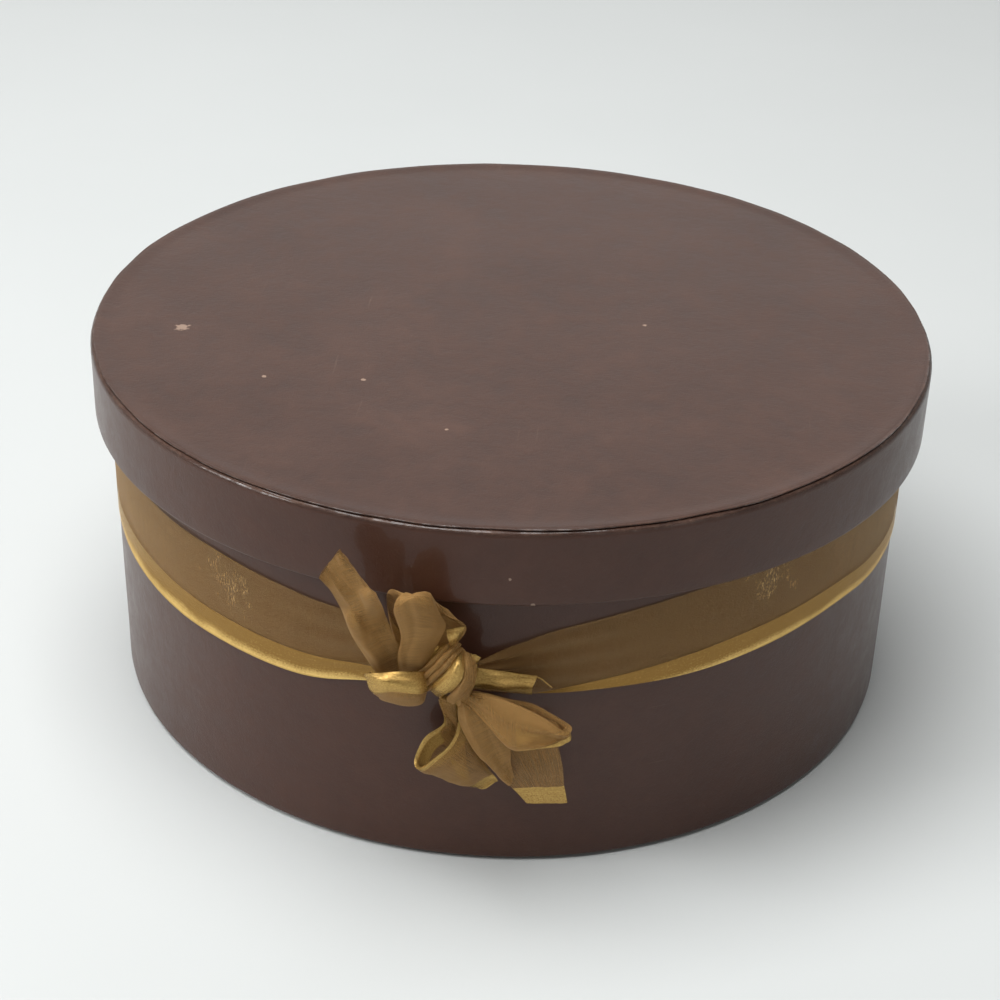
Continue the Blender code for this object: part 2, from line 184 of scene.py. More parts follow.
def lathe(profile, wobble):
    """Turned surface. Points on the axis become one vertex, and an open profile is closed into a ring."""
    closed = profile[0][0] > 0
    verts, rings = [], []
    for radius, height in profile:
        if radius == 0:
            rings.append([len(verts)])
            verts.append((0, 0, height))
            continue
        ring = []
        for k in range(AROUND):
            angle = math.tau * k / AROUND
            dr, dz = wobble(angle, radius, height)
            ring.append(len(verts))
            verts.append(((radius + dr) * math.sin(angle), -(radius + dr) * math.cos(angle), height + dz))
        rings.append(ring)
    faces = []
    pairs = list(zip(rings, rings[1:]))
    if closed:
        pairs.append((rings[-1], rings[0]))
    for a, b in pairs:
        for k in range(AROUND):
            n = (k + 1) % AROUND
            if len(a) == 1:
                faces.append((a[0], b[k], b[n]))
            elif len(b) == 1:
                faces.append((a[k], b[0], a[n]))
            else:
                faces.append((a[k], b[k], b[n], a[n]))
    return verts, faces


def still(angle, radius, height):
    return 0, 0


def hand_made(around, depth, seed):
    """Low waves of a hand-rolled hoop and hand-smoothed paper."""

    def wobble(angle, radius, height):
        place = Vector((math.sin(angle) * around, math.cos(angle) * around, height * 40 + seed))
        wave = noise.noise(place) * depth
        place = Vector((math.sin(angle) * around * 4, math.cos(angle) * around * 4, height * 90 + seed))
        return wave + noise.noise(place) * depth * 0.3, 0

    return wobble


def turned(name, profile, wobble, material, body, nodes):
    verts, faces = lathe(profile, wobble)
    return piece(name, verts, faces, material, body, nodes)


# Materials

def node(tree, kind, inputs=None, **settings):
    made = tree.nodes.new("ShaderNode" + kind)
    for key, value in settings.items():
        setattr(made, key, value)
    for key, value in (inputs or {}).items():
        socket = made.inputs[key]
        if isinstance(value, bpy.types.NodeSocket):
            tree.links.new(value, socket)
        else:
            socket.default_value = value
    return made


def math_node(tree, operation, a, b=0.0, clamp=False):
    made = node(tree, "Math", {0: a, 1: b}, operation=operation, use_clamp=clamp)
    return made.outputs[0]


def times(tree, a, b):
    return math_node(tree, "MULTIPLY", a, b)


def plus(tree, a, b):
    return math_node(tree, "ADD", a, b)


def ranged(tree, value, low, high, to_low=0.0, to_high=1.0, smooth=False):
    settings = {"Value": value, "From Min": low, "From Max": high, "To Min": to_low, "To Max": to_high}
    kind = "SMOOTHSTEP" if smooth else "LINEAR"
    return node(tree, "MapRange", settings, interpolation_type=kind, clamp=True).outputs["Result"]


def mixed(tree, factor, a, b):
    made = node(tree, "Mix", data_type="RGBA")
    for index, value in ((0, factor), (6, a), (7, b)):
        if isinstance(value, bpy.types.NodeSocket):
            tree.links.new(value, made.inputs[index])
        else:
            made.inputs[index].default_value = value
    return made.outputs[2]


def noisy(tree, place, scale, detail=4.0, roughness=0.55, distortion=0.0):
    settings = {"Vector": place, "Scale": scale, "Detail": detail, "Roughness": roughness,
                "Distortion": distortion}
    return node(tree, "TexNoise", settings).outputs["Fac"]


def stretched(tree, place, scale, turn=(0.0, 0.0, 0.0)):
    return node(tree, "Mapping", {"Vector": place, "Scale": scale, "Rotation": turn}).outputs["Vector"]


def bumped(tree, height, depth, normal=None):
    settings = {"Height": height, "Distance": depth, "Strength": 1.0}
    if normal is not None:
        settings["Normal"] = normal
    return node(tree, "Bump", settings).outputs["Normal"]


def blank(name):
    material = bpy.data.materials.new(name)
    material.use_nodes = True
    tree = material.node_tree
    return material, tree, tree.nodes["Principled BSDF"]


def plug(tree, shader, **values):
    for key, value in values.items():
        socket = shader.inputs[key.replace("_", " ")]
        if isinstance(value, bpy.types.NodeSocket):
            tree.links.new(value, socket)
        else:
            socket.default_value = value


BROWN_DARK = (0.041, 0.0178, 0.0115, 1.0)
BROWN = (0.058, 0.0260, 0.0168, 1.0)
BROWN_LIGHT = (0.077, 0.0365, 0.0245, 1.0)
# Painted shade: a darker, redder brown for the upright faces, and how much of it they take
BROWN_PAINTED_SHADE = (0.064, 0.0170, 0.0062, 1.0)
PAINTED_SHADE_SHARE = 0.48
BARE_PAPER = (0.27, 0.18, 0.13, 1.0)
# Lighter colour of the rubbed top edge: wear, and a painted highlight
RUBBED_AND_HIGHLIGHT = (0.16, 0.09, 0.06, 1.0)
# The clear coat on the upright faces and on the handled top
UPRIGHT_COAT = 0.26
TOP_COAT = 0.12
# How ragged a chip is, and how far it reaches, in sizes
CHIP_RAGGED = 2.4
CHIP_REACH = 2.1
CHIP_FULL = 1.9
# Chips in the cover: place, size
CHIPS = (
    ((-0.0726, -0.0178, 0.0832), 0.0018),
    ((-0.0496, -0.0384, 0.0832), 0.0006),
    ((-0.0284, -0.0364, 0.0832), 0.0006),
    ((-0.0077, -0.0558, 0.0832), 0.0005),
    ((0.0304, 0.0003, 0.0832), 0.0006),
    ((0.0098, -0.0946, 0.0726), 0.0004),
    ((0.0144, -0.0939, 0.0668), 0.0005),
)


def cover_paper(name):
    """Glossy brown paper: fine grain, mottling, faint scratches, worn edges that also carry a painted
    highlight, a few chips, and painted shade on the upright faces.
    """
    material, tree, shader = blank(name)
    place = node(tree, "TexCoord").outputs["Object"]
    mottle = noisy(tree, place, 150.0, 9.0, 0.72)
    patch = noisy(tree, place, 24.0, 3.0)
    grain = noisy(tree, place, 2400.0, 3.0, 0.6)
    tone = plus(tree, times(tree, mottle, 0.65), times(tree, patch, 0.35))
    colour = mixed(tree, ranged(tree, tone, 0.34, 0.52), BROWN_DARK, BROWN)
    colour = mixed(tree, ranged(tree, tone, 0.52, 0.68), colour, BROWN_LIGHT)
    apart = node(tree, "SeparateXYZ", {0: place})
    on_top = ranged(tree, apart.outputs[2], BOX_TOP - TOP_STARTS, BOX_TOP - TOP_FULL)
    # Painted shade: the upright faces are mixed toward a darker, redder brown than the top
    colour = mixed(tree, ranged(tree, on_top, 0.0, 1.0, PAINTED_SHADE_SHARE, 0.0), colour, BROWN_PAINTED_SHADE)
    # Scratches run round the upright faces and across the flat top
    round_lines = noisy(tree, stretched(tree, place, (55.0, 55.0, 1500.0), (0.12, 0.0, 0.0)), 1.0, 2.0)
    cross_lines = noisy(tree, stretched(tree, place, (1500.0, 42.0, 42.0), (0.0, 0.0, 0.7)), 1.0, 2.0)
    lines = node(tree, "Mix", {0: on_top, 2: round_lines, 3: cross_lines}).outputs[0]
    scratch = times(tree, ranged(tree, lines, 0.70, 0.76), ranged(tree, patch, 0.50, 0.62))
    colour = mixed(tree, times(tree, scratch, 0.16), colour, BARE_PAPER)
    # The top edge is rubbed: lighter, which is partly wear and partly a painted highlight, and glossier
    flat = node(tree, "CombineXYZ", {0: apart.outputs[0], 1: apart.outputs[1]}).outputs[0]
    radius = node(tree, "VectorMath", {0: flat}, operation="LENGTH").outputs["Value"]
    edge = times(
        tree,
        ranged(tree, radius, LID_RADIUS - RUB_STARTS_IN, LID_RADIUS - RUB_FULL_IN, smooth=True),
        ranged(tree, apart.outputs[2], BOX_TOP - RUB_STARTS_DOWN, BOX_TOP - RUB_FULL_DOWN, smooth=True),
    )
    rub = noisy(tree, place, 420.0, 6.0, 0.8)
    worn_and_highlight = times(tree, edge, ranged(tree, rub, 0.47, 0.60))
    # The rubbed edge is mixed toward a lighter brown: partly wear, partly a painted highlight
    colour = mixed(tree, times(tree, worn_and_highlight, 0.5), colour, RUBBED_AND_HIGHLIGHT)
    shiny = times(tree, edge, ranged(tree, noisy(tree, place, 260.0, 4.0, 0.7), 0.42, 0.56))
    chips = None
    torn = noisy(tree, place, 700.0, 4.0, 0.7)
    for centre, size in CHIPS:
        away = node(tree, "VectorMath", {0: place, 1: centre}, operation="DISTANCE").outputs["Value"]
        away = plus(tree, away, times(tree, torn, size * CHIP_RAGGED))
        chip = ranged(tree, away, size * CHIP_REACH, size * CHIP_FULL)
        chips = chip if chips is None else math_node(tree, "MAXIMUM", chips, chip)
    colour = mixed(tree, chips, colour, BARE_PAPER)
    normal = bumped(tree, grain, GRAIN_DEPTH)
    normal = bumped(tree, mottle, MOTTLE_DEPTH, normal)
    normal = bumped(tree, times(tree, edge, rub), RUB_DEPTH, normal)
    plug(
        tree, shader,
        Base_Color=colour,
        Roughness=ranged(tree, mottle, 0.3, 0.7, 0.34, 0.48),
        IOR=1.33,
        Coat_Weight=math_node(tree, "MAXIMUM", ranged(tree, on_top, 0.0, 1.0, UPRIGHT_COAT, TOP_COAT), shiny),
        Coat_Roughness=0.08,
        Normal=normal,
    )
    return material


CREAM_DARK = (0.60, 0.53, 0.43, 1.0)
CREAM_LIGHT = (0.76, 0.70, 0.60, 1.0)
CREAM_AGED = (0.62, 0.52, 0.40, 1.0)


def lining_paper():
    """Plain cream paper with fibres."""
    material, tree, shader = blank("lining_paper")
    place = node(tree, "TexCoord").outputs["Object"]
    fibre = noisy(tree, stretched(tree, place, (1.0, 1.0, 3.0)), 700.0, 6.0, 0.7, 0.6)
    patch = noisy(tree, place, 30.0, 4.0)
    colour = mixed(tree, fibre, CREAM_DARK, CREAM_LIGHT)
    colour = mixed(tree, ranged(tree, patch, 0.3, 0.7, 0.0, 0.25), colour, CREAM_AGED)
    plug(tree, shader, Base_Color=colour, Roughness=0.82, Normal=bumped(tree, fibre, FIBRE_DEPTH))
    return material


BOARD_DARK = (0.22, 0.16, 0.11, 1.0)
BOARD_LIGHT = (0.42, 0.34, 0.25, 1.0)
BOARD_FLECK = (0.12, 0.09, 0.07, 1.0)


def chipboard():
    """Grey-brown board with flecks."""
    material, tree, shader = blank("chipboard")
    place = node(tree, "TexCoord").outputs["Object"]
    fibre = noisy(tree, place, 900.0, 6.0, 0.75, 1.2)
    fleck = noisy(tree, place, 2600.0, 2.0)
    colour = mixed(tree, fibre, BOARD_DARK, BOARD_LIGHT)
    colour = mixed(tree, ranged(tree, fleck, 0.62, 0.70), colour, BOARD_FLECK)
    plug(tree, shader, Base_Color=colour, Roughness=0.9, Normal=bumped(tree, fibre, BOARD_DEPTH))
    return material


ORGANZA_DARK = (0.22, 0.112, 0.033, 1.0)
ORGANZA_LIGHT = (0.56, 0.325, 0.118, 1.0)
SATIN_DARK = (0.26, 0.14, 0.033, 1.0)
SATIN_LIGHT = (0.78, 0.53, 0.18, 1.0)
# Pale gold of the painted glints
PAINTED_GLINT = (0.95, 0.80, 0.45, 1.0)
# Where glints are painted on the band, in U and V
PAINTED_GLINT_PLACES = ((0.55, 2.15), (0.60, 22.8))
SATIN_SHARE = 0.22
SHEER_FROM = 0.24
THREADS = 150
GOLD_SHINE = (1.0, 0.78, 0.46, 1.0)
GOLD_SHEEN = (1.0, 0.78, 0.48, 1.0)
SEEN_THROUGH = (1.0, 0.93, 0.78, 1.0)
# The share of the sheer part that threads cover, and what the bow's crushed layers, the painted glints and
# slant add
COVER_LOW = 0.28
COVER_HIGH = 0.34
COVER_IN_BOW = 0.18
COVER_IN_PAINTED_GLINT = 0.3
COVER_SLANTED = 0.35


def ribbon_cloth():
    """Sheer gold organza with satin edges. U runs across the ribbon from 0 to 1, and V along it in widths."""
    material, tree, shader = blank("ribbon_cloth")
    uv = node(tree, "UVMap", uv_map="ribbon").outputs["UV"]
    apart = node(tree, "SeparateXYZ", {0: uv})
    off_middle = math_node(tree, "ABSOLUTE", math_node(tree, "SUBTRACT", apart.outputs[0], 0.5))
    satin = ranged(tree, off_middle, 0.5 - SATIN_SHARE, 0.508 - SATIN_SHARE)
    selvedge = ranged(tree, off_middle, 0.486, 0.492)
    weft = math_node(tree, "SINE", times(tree, apart.outputs[1], math.tau * THREADS))
    warp = math_node(tree, "SINE", times(tree, apart.outputs[0], math.tau * THREADS))
    slub = noisy(tree, stretched(tree, uv, (3.0, 150.0, 1.0)), 1.0, 4.0, 0.6)
    line = noisy(tree, stretched(tree, uv, (150.0, 4.0, 1.0)), 1.0, 4.0, 0.6)
    grain = noisy(tree, stretched(tree, uv, (75.0, 45.0, 1.0)), 1.0, 3.0, 0.7)
    streak = plus(tree, times(tree, line, 0.4), times(tree, grain, 0.6))
    cloud = noisy(tree, uv, 2.6, 4.0, 0.6)
    # Painted glints: pale gold specks over the sheer part, with brighter ragged patches at the listed places
    painted_glint_noise = noisy(tree, stretched(tree, uv, (26.0, 70.0, 1.0), (0.0, 0.0, 0.5)), 1.0, 5.0, 0.75, 0.6)
    painted_sparkle = times(tree, ranged(tree, painted_glint_noise, 0.62, 0.74), ranged(tree, cloud, 0.55, 0.65))
    painted_sparkle = times(tree, painted_sparkle, 0.15)
    ragged = noisy(tree, uv, 5.0, 3.0, 0.6)
    for across, along in PAINTED_GLINT_PLACES:
        beside = node(tree, "VectorMath", {0: uv, 1: (across, along, 0.0)},
                      operation="SUBTRACT").outputs["Vector"]
        beside = stretched(tree, beside, (2.4, 1.5, 1.0), (0.0, 0.0, 0.6))
        away = node(tree, "VectorMath", {0: beside}, operation="LENGTH").outputs["Value"]
        away = plus(tree, away, ranged(tree, ragged, 0.35, 0.65, -0.30, 0.30))
        painted_glint_spot = times(tree, ranged(tree, away, 0.50, 0.10, 0.0, 0.6), ranged(tree, painted_glint_noise, 0.50, 0.66))
        painted_sparkle = math_node(tree, "MAXIMUM", painted_sparkle, painted_glint_spot)
    weave = times(tree, plus(tree, weft, warp), 0.06)
    sheer_tone = plus(tree, plus(tree, slub, weave), times(tree, painted_sparkle, 0.6))
    sheer = mixed(tree, ranged(tree, sheer_tone, 0.05, 1.10), ORGANZA_DARK, ORGANZA_LIGHT)
    satin_tone = plus(tree, streak, times(tree, weft, 0.03))
    # Painted shine and shade on the band's satin: lighter toward the ribbon's edge, darker toward the sheer
    # part; in the bow only a slight darkening
    painted_shine_across = plus(tree, off_middle, times(tree, noisy(tree, uv, 1.6, 3.0), 0.10))
    painted_shine = ranged(tree, painted_shine_across, 0.56 - SATIN_SHARE / 2, 0.56, -0.20, 0.26, smooth=True)
    in_bow = ranged(tree, apart.outputs[1], -1.0, -2.0)
    painted_shine = node(tree, "Mix", {0: in_bow, 2: painted_shine, 3: -0.02}).outputs[0]
    satin_tone = plus(tree, satin_tone, painted_shine)
    gold = mixed(tree, ranged(tree, satin_tone, 0.34, 0.72), SATIN_DARK, SATIN_LIGHT)
    # The painted glints are mixed into the sheer part
    sheer = mixed(tree, painted_sparkle, sheer, PAINTED_GLINT)
    colour = mixed(tree, satin, sheer, gold)
    colour = mixed(tree, times(tree, selvedge, 0.35), colour, SATIN_DARK)
    weft_height = times(tree, weft, ranged(tree, satin, 0.0, 1.0, 0.2, 0.12))
    height = plus(tree, weft_height, streak)
    plug(
        tree, shader,
        Base_Color=colour,
        Metallic=ranged(tree, satin, 0.0, 1.0, 0.10, 0.60),
        Roughness=ranged(tree, satin, 0.0, 1.0, 0.50, 0.27),
        Specular_Tint=GOLD_SHINE,
        Sheen_Weight=0.08,
        Sheen_Roughness=0.4,
        Sheen_Tint=GOLD_SHEEN,
        Normal=bumped(tree, height, THREAD_DEPTH),
    )
    # Threads cover a share of the sheer part, more where it is seen slanted and where glints are painted
    threads = plus(tree, weft, warp)
    cover = plus(tree, ranged(tree, threads, -2.0, 2.0, COVER_LOW, COVER_HIGH),
                 times(tree, painted_sparkle, COVER_IN_PAINTED_GLINT))
    slant = node(tree, "LayerWeight", {"Blend": 0.35}).outputs["Facing"]
    cover = plus(tree, cover, times(tree, in_bow, COVER_IN_BOW))
    cover = math_node(tree, "ADD", cover, times(tree, slant, COVER_SLANTED), clamp=True)
    cover = math_node(tree, "MAXIMUM", cover, satin)
    clear = node(tree, "BsdfTransparent", {"Color": SEEN_THROUGH}).outputs[0]
    both = node(tree, "MixShader", {0: cover, 1: clear, 2: shader.outputs[0]}).outputs[0]
    tree.links.new(both, tree.nodes["Material Output"].inputs["Surface"])
    return material


brown = cover_paper("cover_paper")
cream = lining_paper()
board = chipboard()
gold = ribbon_cloth()


# Base and lid

def skin(path, offset, rounding):
    """A paper folded over a board: its near line and its far line, as one closed section."""
    near = fine(rounded(path(offset), rounding))
    far = fine(rounded(path(offset + PAPER), rounding + PAPER))
    return near + far[::-1]


def wall_path(distance):
    return [
        (INSIDE_RADIUS - distance, WALL_TOP - TURN_OVER),
        (INSIDE_RADIUS - distance, WALL_TOP + distance),
        (WALL_RADIUS + distance, WALL_TOP + distance),
        (WALL_RADIUS + distance, WALL_BOTTOM - distance),
        (WALL_RADIUS - TURN_UNDER, WALL_BOTTOM - distance),
    ]


def rim_path(distance):
    line = [
        (HOOP_INSIDE - distance, HOOP_BOTTOM + RIM_TURN_UP),
        (HOOP_INSIDE - distance, HOOP_BOTTOM - distance),
        (HOOP_RADIUS + distance, HOOP_BOTTOM - distance),
    ]
    for k in range(CORNER_STEPS + 1):
        angle = math.pi / 2 * k / CORNER_STEPS
        reach = EDGE_ROUND + distance
        line.append((HOOP_RADIUS - EDGE_ROUND + reach * math.cos(angle),
                     HOOP_TOP - EDGE_ROUND + reach * math.sin(angle)))
    line += [
        (HOOP_INSIDE, HOOP_TOP + distance),
        (HOOP_INSIDE - 2 * GLUE, BOARD_TOP + distance),
        (HOOP_INSIDE - RIM_TURN_IN, BOARD_TOP + distance),
    ]
    return line


def top_wobble(angle, radius, height):
    """The top paper lies in low waves, and its cut edge wanders a little."""
    x, y = radius * math.sin(angle), radius * math.cos(angle)
    wave = noise.noise(Vector((x * 38, y * 38, 3.1))) * TOP_WAVE
    wave += noise.noise(Vector((x * 110, y * 110, 7.7))) * TOP_RIPPLE
    trim = 0
    if radius > HOOP_INSIDE + TRIM_FROM:
        trim = noise.noise(Vector((math.sin(angle) * 9, math.cos(angle) * 9, 1.3))) * TRIM_WAVE
    return trim, wave * min(1, (LID_RADIUS - radius) / CALM_REACH + CALM_LEAST)


def top_profile():
    """The top paper, out over the low ring to its cut edge and back along its upper face."""
    under = GLUE + PAPER + GLUE
    over = under + PAPER
    edge = LID_RADIUS - EDGE_ROUND
    ring = [(HOOP_INSIDE - back, BOARD_TOP + rise) for back, rise in RING]
    ring.append((HOOP_INSIDE + GLUE, HOOP_TOP))
    upper = [(0, BOARD_TOP + over)] + [(r, z + over) for r, z in ring] + [(edge - GLUE, HOOP_TOP + over)]
    lower = [(0, BOARD_TOP + under)] + [(r, z + under) for r, z in ring] + [(edge, HOOP_TOP + under)]
    return fine(lower) + [(edge, HOOP_TOP + over - GLUE / 2)] + fine(upper)[::-1]


def corners(inner, outer, low, high):
    return [(inner, low), (outer, low), (outer, high), (inner, high)]


def build_base():
    within = INSIDE_RADIUS - GLUE
    low = FLOOR_TOP + GLUE
    turned("wall_board", fine(corners(INSIDE_RADIUS, WALL_RADIUS, WALL_BOTTOM, WALL_TOP)),
           still, board, "base", ["base_wall"])
    turned("floor_board", corners(0, within, WALL_BOTTOM, FLOOR_TOP),
           still, board, "base", ["base_floor"])
    turned("wall_cover", skin(wall_path, GLUE, WALL_CORNER),
           hand_made(2.2, WALL_WAVE, 0.0), brown, "base", ["base_wall_paper"])
    turned("bottom_cover", fine(corners(0, WALL_RADIUS - DISC_INSET, 0, PAPER)),
           still, brown, "base", ["base_bottom_paper"])
    turned("wall_lining", fine(corners(within - PAPER, within, low, WALL_TOP - TURN_OVER - GLUE)),
           still, cream, "base", ["base_wall_lining"])
    turned("floor_lining", fine(corners(0, within - PAPER - GLUE, low, low + PAPER)),
           still, cream, "base", ["base_floor_lining"])


def build_lid():
    within = HOOP_INSIDE - GLUE
    low = HOOP_BOTTOM + RIM_TURN_UP + GLUE
    hoop = [(HOOP_INSIDE, HOOP_TOP), (HOOP_INSIDE, HOOP_BOTTOM), (HOOP_RADIUS, HOOP_BOTTOM),
            (HOOP_RADIUS, HOOP_TOP - EDGE_ROUND), (HOOP_RADIUS - EDGE_ROUND, HOOP_TOP)]
    turned("hoop_board", fine(hoop), still, board, "lid", ["lid_hoop"])
    turned("top_board", corners(0, within, BOARD_UNDERSIDE, BOARD_TOP),
           still, board, "lid", ["lid_board"])
    turned("rim_cover", skin(rim_path, GLUE, RIM_CORNER),
           hand_made(2.6, RIM_WAVE, 5.0), brown, "lid", ["lid_rim_paper"])
    turned("top_cover", top_profile(), top_wobble, brown, "lid", ["lid_top_paper"])
    turned("top_lining", fine(corners(0, within, LINING_UNDERSIDE, LINING_UNDERSIDE + PAPER)),
           still, cream, "lid", ["lid_top_lining"])
    turned("hoop_lining", fine(corners(within - PAPER, within, low, LINING_UNDERSIDE - GLUE)),
           still, cream, "lid", ["lid_hoop_lining"])


# Ribbon

# Degrees round from the bow, lower edge, upper edge and lift in ribbon widths, and what share of the ribbon's
# width lies at each edge: the rest is turned under
BAND_SHARES = (
    (-3.0, -0.16, 0.10, 0.07, 0.10, 0.80),
    (-6.0, -0.28, 0.22, 0.04, 0.08, 0.80),
    (-9.0, -0.36, 0.26, 0.02, 0.05, 0.80),
    (-13.0, -0.43, 0.29, 0.00, 0.02, 0.78),
    (-19.0, -0.53, 0.32, 0.00, 0.00, 0.78),
    (-25.0, -0.56, 0.37, 0.00, 0.00, 0.78),
    (-35.0, -0.55, 0.43, 0.00, 0.00, 0.79),
    (-50.0, -0.52, 0.46, 0.00, 0.00, 0.77),
    (-75.0, -0.46, 0.50, 0.00, 0.00, 0.77),
    (-110.0, -0.40, 0.56, 0.00, 0.00, 0.96),
    (-180.0, -0.36, 0.61, 0.00, 0.00, 0.97),
    (-250.0, -0.36, 0.61, 0.00, 0.00, 0.97),
    (-289.0, -0.36, 0.61, 0.00, 0.00, 0.90),
    (-304.0, -0.29, 0.62, 0.00, 0.00, 0.80),
    (-319.0, -0.33, 0.60, 0.00, 0.00, 0.78),
    (-330.0, -0.37, 0.54, 0.00, 0.04, 0.77),
    (-340.0, -0.37, 0.43, 0.00, 0.12, 0.77),
    (-348.0, -0.37, 0.30, 0.00, 0.19, 0.77),
    (-352.5, -0.34, 0.18, 0.02, 0.23, 0.77),
    (-355.0, -0.28, 0.10, 0.04, 0.25, 0.77),
    (-357.5, -0.14, 0.00, 0.06, 0.26, 0.77),
)
# Rows of points along each part of the bow: to the right of the knot, out from the wall and up from the knot,
# in ribbon widths
TAIL_UPPER_SHARES = (
    ((-0.669, 0.209, -0.237), (-0.630, 0.218, -0.209), (-0.594, 0.227, -0.185),
     (-0.557, 0.227, -0.160), (-0.524, 0.218, -0.135)),
    ((-0.795, 0.255, 0.024), (-0.719, 0.282, 0.061), (-0.646, 0.291, 0.099),
     (-0.578, 0.273, 0.134), (-0.520, 0.245, 0.183)),
    ((-0.893, 0.291, 0.254), (-0.810, 0.327, 0.288), (-0.732, 0.336, 0.325),
     (-0.656, 0.318, 0.354), (-0.585, 0.282, 0.387)),
    ((-0.971, 0.318, 0.457), (-0.869, 0.445, 0.536), (-0.799, 0.400, 0.532),
     (-0.719, 0.355, 0.556), (-0.645, 0.309, 0.594)),
    ((-1.024, 0.364, 0.665), (-0.939, 0.373, 0.679), (-0.843, 0.409, 0.739),
     (-0.742, 0.509, 0.853), (-0.662, 0.509, 0.907)),
    ((-1.092, 0.409, 0.836), (-1.009, 0.391, 0.849), (-0.924, 0.400, 0.879),
     (-0.838, 0.427, 0.921), (-0.763, 0.445, 0.966)),
    ((-1.142, 0.418, 0.912), (-1.057, 0.391, 0.974), (-0.996, 0.418, 1.030),
     (-0.932, 0.436, 1.073), (-0.869, 0.418, 1.100)),
    ((-1.173, 0.464, 0.993), (-1.124, 0.409, 1.083), (-1.073, 0.436, 1.172),
     (-1.003, 0.455, 1.283), (-0.960, 0.436, 1.218)),
)
LOOP_UPPER_SHARES = (
    ((-0.504, 0.291, -0.058), (-0.445, 0.309, -0.022), (-0.387, 0.318, 0.001),
     (-0.323, 0.309, 0.015), (-0.269, 0.291, 0.032)),
    ((-0.517, 0.336, 0.161), (-0.434, 0.382, 0.218), (-0.348, 0.400, 0.249),
     (-0.267, 0.373, 0.252), (-0.189, 0.327, 0.256)),
    ((-0.483, 0.382, 0.398), (-0.398, 0.445, 0.466), (-0.304, 0.464, 0.498),
     (-0.214, 0.427, 0.489), (-0.118, 0.355, 0.433)),
    ((-0.510, 0.427, 0.609), (-0.418, 0.500, 0.683), (-0.304, 0.527, 0.729),
     (-0.200, 0.482, 0.693), (-0.081, 0.391, 0.578)),
    ((-0.528, 0.455, 0.747), (-0.441, 0.536, 0.862), (-0.328, 0.564, 0.923),
     (-0.223, 0.527, 0.877), (-0.138, 0.436, 0.728)),
    ((-0.492, 0.436, 0.824), (-0.422, 0.482, 0.906), (-0.328, 0.509, 0.962),
     (-0.250, 0.473, 0.917), (-0.183, 0.418, 0.800)),
    ((-0.535, 0.318, 0.861), (-0.442, 0.345, 0.816), (-0.348, 0.364, 0.824),
     (-0.246, 0.355, 0.775), (-0.118, 0.327, 0.645)),
    ((-0.622, 0.245, 0.747), (-0.501, 0.264, 0.664), (-0.381, 0.282, 0.658),
     (-0.185, 0.282, 0.621), (0.086, 0.273, 0.489)),
    ((-0.599, 0.209, 0.405), (-0.489, 0.209, 0.348), (-0.362, 0.209, 0.327),
     (-0.220, 0.209, 0.291), (-0.037, 0.218, 0.224)),
    ((-0.514, 0.173, 0.082), (-0.438, 0.164, 0.067), (-0.367, 0.164, 0.064),
     (-0.280, 0.173, 0.072), (-0.165, 0.182, 0.073)),
    ((-0.381, 0.155, -0.089), (-0.353, 0.155, -0.086), (-0.324, 0.155, -0.083),
     (-0.296, 0.155, -0.073), (-0.267, 0.155, -0.063)),
)
LOOP_TIP_SHARES = (
    ((-0.081, 0.345, 0.494), (-0.065, 0.373, 0.417), (-0.041, 0.327, 0.298)),
    ((0.006, 0.373, 0.541), (0.019, 0.400, 0.481), (0.010, 0.336, 0.357)),
    ((0.090, 0.309, 0.524), (0.064, 0.318, 0.471), (0.030, 0.282, 0.389)),
)
LOOP_LEFT_SHARES = (
    ((-0.235, 0.282, -0.019), (-0.231, 0.309, -0.062), (-0.229, 0.318, -0.114),
     (-0.236, 0.309, -0.173), (-0.255, 0.291, -0.240)),
    ((-0.309, 0.364, 0.037), (-0.304, 0.436, -0.027), (-0.309, 0.455, -0.125),
     (-0.298, 0.427, -0.205), (-0.286, 0.391, -0.286)),
    ((-0.441, 0.427, 0.062), (-0.434, 0.509, 0.011), (-0.448, 0.527, -0.087),
     (-0.445, 0.491, -0.189), (-0.427, 0.418, -0.306)),
    ((-0.594, 0.445, 0.052), (-0.591, 0.518, 0.001), (-0.581, 0.527, -0.094),
     (-0.560, 0.482, -0.187), (-0.551, 0.409, -0.301)),
    ((-0.721, 0.409, 0.009), (-0.703, 0.455, -0.056), (-0.678, 0.455, -0.143),
     (-0.655, 0.418, -0.225), (-0.633, 0.364, -0.315)),
    ((-0.808, 0.336, -0.058), (-0.779, 0.355, -0.135), (-0.747, 0.345, -0.228),
     (-0.713, 0.327, -0.286), (-0.689, 0.300, -0.346)),
    ((-0.806, 0.245, -0.146), (-0.778, 0.245, -0.219), (-0.745, 0.236, -0.299),
     (-0.712, 0.227, -0.344), (-0.685, 0.218, -0.383)),
    ((-0.680, 0.173, -0.184), (-0.667, 0.164, -0.252), (-0.647, 0.164, -0.320),
     (-0.624, 0.164, -0.359), (-0.601, 0.164, -0.399)),
    ((-0.484, 0.136, -0.189), (-0.470, 0.136, -0.243), (-0.455, 0.136, -0.291),
     (-0.441, 0.136, -0.324), (-0.426, 0.136, -0.358)),
    ((-0.283, 0.136, -0.179), (-0.277, 0.136, -0.209), (-0.271, 0.136, -0.237),
     (-0.265, 0.136, -0.257), (-0.259, 0.136, -0.277)),
)
